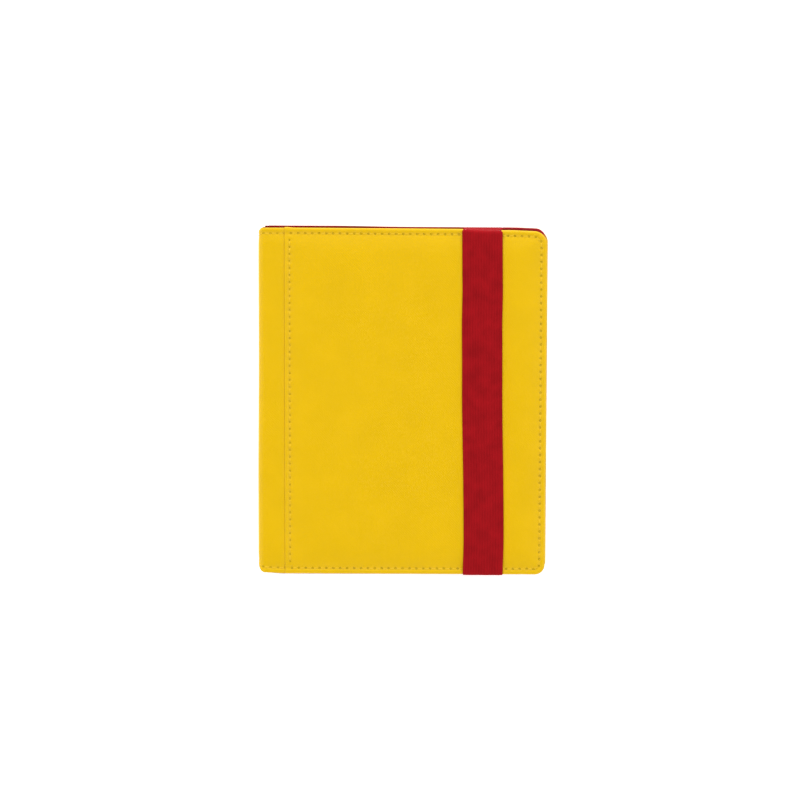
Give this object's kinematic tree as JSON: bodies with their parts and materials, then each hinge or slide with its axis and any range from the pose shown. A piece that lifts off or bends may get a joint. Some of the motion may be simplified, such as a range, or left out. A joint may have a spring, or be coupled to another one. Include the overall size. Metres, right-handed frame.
{
  "type": "trading card binder",
  "caption": "Side-loading trading card binder with padded crosshatch leatherette covers, sewn edges, clear pocket leaves and an elastic strap closure.",
  "frame": {"origin": "middle of the back cover's outer face, which the closed binder lies on", "axes": "+X from the spine to the fore edge, +Y from tail to head, +Z out of the front cover"},
  "size_m": [0.181, 0.2206, 0.0314],
  "materials": {
    "yellow_leatherette": "crosshatch embossed, satin",
    "red_lining": "brushed",
    "red_elastic": "ribbed",
    "yellow_thread": "twisted",
    "black_thread": "twisted",
    "foam_padding": "open cell",
    "greyboard": "matt",
    "page_sheet": "fine matt",
    "pocket_film": "clear"
  },
  "bodies": {
    "back_cover": {"back_outer_skin": "yellow_leatherette", "back_hinge_strip": "yellow_leatherette", "back_foam": "foam_padding", "back_board": "greyboard", "back_lining": "red_lining", "back_stitching": "yellow_thread", "strap_sewn_ends": "red_elastic"},
    "spine": {"spine_wrap": "yellow_leatherette", "spine_board": "greyboard", "spine_lining": "red_lining", "spine_stitching": "yellow_thread", "binding_block": "page_sheet", "binding_stitching": "black_thread"},
    "front_cover": {"front_outer_skin": "yellow_leatherette", "front_hinge_strip": "yellow_leatherette", "front_foam": "foam_padding", "front_board": "greyboard", "front_lining": "red_lining", "front_stitching": "yellow_thread"},
    "strap": {"elastic_strap": "red_elastic"},
    "leaf_01": {"leaf_01_sheet": "page_sheet", "leaf_01_pockets": "pocket_film"},
    "leaf_02": {"leaf_02_sheet": "page_sheet", "leaf_02_pockets": "pocket_film"},
    "leaf_03": {"leaf_03_sheet": "page_sheet", "leaf_03_pockets": "pocket_film"},
    "leaf_04": {"leaf_04_sheet": "page_sheet", "leaf_04_pockets": "pocket_film"},
    "leaf_05": {"leaf_05_sheet": "page_sheet", "leaf_05_pockets": "pocket_film"},
    "leaf_06": {"leaf_06_sheet": "page_sheet", "leaf_06_pockets": "pocket_film"},
    "leaf_07": {"leaf_07_sheet": "page_sheet", "leaf_07_pockets": "pocket_film"},
    "leaf_08": {"leaf_08_sheet": "page_sheet", "leaf_08_pockets": "pocket_film"},
    "leaf_09": {"leaf_09_sheet": "page_sheet", "leaf_09_pockets": "pocket_film"},
    "leaf_10": {"leaf_10_sheet": "page_sheet", "leaf_10_pockets": "pocket_film"},
    "leaf_11": {"leaf_11_sheet": "page_sheet", "leaf_11_pockets": "pocket_film"},
    "leaf_12": {"leaf_12_sheet": "page_sheet", "leaf_12_pockets": "pocket_film"},
    "leaf_13": {"leaf_13_sheet": "page_sheet", "leaf_13_pockets": "pocket_film"},
    "leaf_14": {"leaf_14_sheet": "page_sheet", "leaf_14_pockets": "pocket_film"},
    "leaf_15": {"leaf_15_sheet": "page_sheet", "leaf_15_pockets": "pocket_film"},
    "leaf_16": {"leaf_16_sheet": "page_sheet", "leaf_16_pockets": "pocket_film"},
    "leaf_17": {"leaf_17_sheet": "page_sheet", "leaf_17_pockets": "pocket_film"},
    "leaf_18": {"leaf_18_sheet": "page_sheet", "leaf_18_pockets": "pocket_film"},
    "leaf_19": {"leaf_19_sheet": "page_sheet", "leaf_19_pockets": "pocket_film"},
    "leaf_20": {"leaf_20_sheet": "page_sheet", "leaf_20_pockets": "pocket_film"}
  },
  "joints": [
    {"name": "spine_fold", "type": "hinge", "parent": "back_cover", "child": "spine", "pos_m": [-0.0896, 0, 0.0009], "axis": [0, -1, 0], "range_deg": [0, 90]},
    {"name": "front_fold", "type": "hinge", "parent": "spine", "child": "front_cover", "pos_m": [-0.0896, 0, 0.0311], "axis": [0, -1, 0], "range_deg": [0, 96]},
    {"name": "strap_swing", "type": "hinge", "parent": "back_cover", "child": "strap", "pos_m": [0.04806, 0, 0.00285], "axis": [0, 1, 0], "range_deg": [0, 182], "deforming": ["elastic_strap"]},
    {"name": "leaf_01_turn", "type": "hinge", "parent": "spine", "child": "leaf_01", "pos_m": [-0.0839, 0, 0.0263], "axis": [0, -1, 0], "range_deg": [0, 96]},
    {"name": "leaf_02_turn", "type": "hinge", "parent": "spine", "child": "leaf_02", "pos_m": [-0.08325, 0, 0.02522], "axis": [0, -1, 0], "range_deg": [0, 96]},
    {"name": "leaf_03_turn", "type": "hinge", "parent": "spine", "child": "leaf_03", "pos_m": [-0.0826, 0, 0.02413], "axis": [0, -1, 0], "range_deg": [0, 96]},
    {"name": "leaf_04_turn", "type": "hinge", "parent": "spine", "child": "leaf_04", "pos_m": [-0.08195, 0, 0.02305], "axis": [0, -1, 0], "range_deg": [0, 96]},
    {"name": "leaf_05_turn", "type": "hinge", "parent": "spine", "child": "leaf_05", "pos_m": [-0.0813, 0, 0.02196], "axis": [0, -1, 0], "range_deg": [0, 96]},
    {"name": "leaf_06_turn", "type": "hinge", "parent": "spine", "child": "leaf_06", "pos_m": [-0.08065, 0, 0.02088], "axis": [0, -1, 0], "range_deg": [0, 96]},
    {"name": "leaf_07_turn", "type": "hinge", "parent": "spine", "child": "leaf_07", "pos_m": [-0.08, 0, 0.01979], "axis": [0, -1, 0], "range_deg": [0, 96]},
    {"name": "leaf_08_turn", "type": "hinge", "parent": "spine", "child": "leaf_08", "pos_m": [-0.07935, 0, 0.01871], "axis": [0, -1, 0], "range_deg": [0, 96]},
    {"name": "leaf_09_turn", "type": "hinge", "parent": "spine", "child": "leaf_09", "pos_m": [-0.0787, 0, 0.01763], "axis": [0, -1, 0], "range_deg": [0, 96]},
    {"name": "leaf_10_turn", "type": "hinge", "parent": "spine", "child": "leaf_10", "pos_m": [-0.07805, 0, 0.01654], "axis": [0, -1, 0], "range_deg": [0, 96]},
    {"name": "leaf_11_turn", "type": "hinge", "parent": "spine", "child": "leaf_11", "pos_m": [-0.07805, 0, 0.01546], "axis": [0, -1, 0], "range_deg": [-92, 0]},
    {"name": "leaf_12_turn", "type": "hinge", "parent": "spine", "child": "leaf_12", "pos_m": [-0.0787, 0, 0.01437], "axis": [0, -1, 0], "range_deg": [-92, 0]},
    {"name": "leaf_13_turn", "type": "hinge", "parent": "spine", "child": "leaf_13", "pos_m": [-0.07935, 0, 0.01329], "axis": [0, -1, 0], "range_deg": [-92, 0]},
    {"name": "leaf_14_turn", "type": "hinge", "parent": "spine", "child": "leaf_14", "pos_m": [-0.08, 0, 0.01221], "axis": [0, -1, 0], "range_deg": [-92, 0]},
    {"name": "leaf_15_turn", "type": "hinge", "parent": "spine", "child": "leaf_15", "pos_m": [-0.08065, 0, 0.01112], "axis": [0, -1, 0], "range_deg": [-92, 0]},
    {"name": "leaf_16_turn", "type": "hinge", "parent": "spine", "child": "leaf_16", "pos_m": [-0.0813, 0, 0.01004], "axis": [0, -1, 0], "range_deg": [-92, 0]},
    {"name": "leaf_17_turn", "type": "hinge", "parent": "spine", "child": "leaf_17", "pos_m": [-0.08195, 0, 0.00895], "axis": [0, -1, 0], "range_deg": [-92, 0]},
    {"name": "leaf_18_turn", "type": "hinge", "parent": "spine", "child": "leaf_18", "pos_m": [-0.0826, 0, 0.00787], "axis": [0, -1, 0], "range_deg": [-92, 0]},
    {"name": "leaf_19_turn", "type": "hinge", "parent": "spine", "child": "leaf_19", "pos_m": [-0.08325, 0, 0.00678], "axis": [0, -1, 0], "range_deg": [-92, 0]},
    {"name": "leaf_20_turn", "type": "hinge", "parent": "spine", "child": "leaf_20", "pos_m": [-0.0839, 0, 0.0057], "axis": [0, -1, 0], "range_deg": [-92, 0]}
  ],
  "couplings": [
    {"joint": "front_fold", "follows": "spine_fold", "ratio": 1.0446},
    {"joint": "strap_swing", "follows": "spine_fold", "ratio": 2},
    {"joint": "leaf_01_turn", "follows": "spine_fold", "ratio": 1.0495},
    {"joint": "leaf_02_turn", "follows": "spine_fold", "ratio": 1.0475},
    {"joint": "leaf_03_turn", "follows": "spine_fold", "ratio": 1.0456},
    {"joint": "leaf_04_turn", "follows": "spine_fold", "ratio": 1.0437},
    {"joint": "leaf_05_turn", "follows": "spine_fold", "ratio": 1.0417},
    {"joint": "leaf_06_turn", "follows": "spine_fold", "ratio": 1.0398},
    {"joint": "leaf_07_turn", "follows": "spine_fold", "ratio": 1.0378},
    {"joint": "leaf_08_turn", "follows": "spine_fold", "ratio": 1.0358},
    {"joint": "leaf_09_turn", "follows": "spine_fold", "ratio": 1.0338},
    {"joint": "leaf_10_turn", "follows": "spine_fold", "ratio": 1.0317},
    {"joint": "leaf_11_turn", "follows": "spine_fold", "ratio": -0.98383},
    {"joint": "leaf_12_turn", "follows": "spine_fold", "ratio": -0.98606},
    {"joint": "leaf_13_turn", "follows": "spine_fold", "ratio": -0.98828},
    {"joint": "leaf_14_turn", "follows": "spine_fold", "ratio": -0.99047},
    {"joint": "leaf_15_turn", "follows": "spine_fold", "ratio": -0.99265},
    {"joint": "leaf_16_turn", "follows": "spine_fold", "ratio": -0.99481},
    {"joint": "leaf_17_turn", "follows": "spine_fold", "ratio": -0.99695},
    {"joint": "leaf_18_turn", "follows": "spine_fold", "ratio": -0.99908},
    {"joint": "leaf_19_turn", "follows": "spine_fold", "ratio": -1.0012},
    {"joint": "leaf_20_turn", "follows": "spine_fold", "ratio": -1.0033}
  ]
}
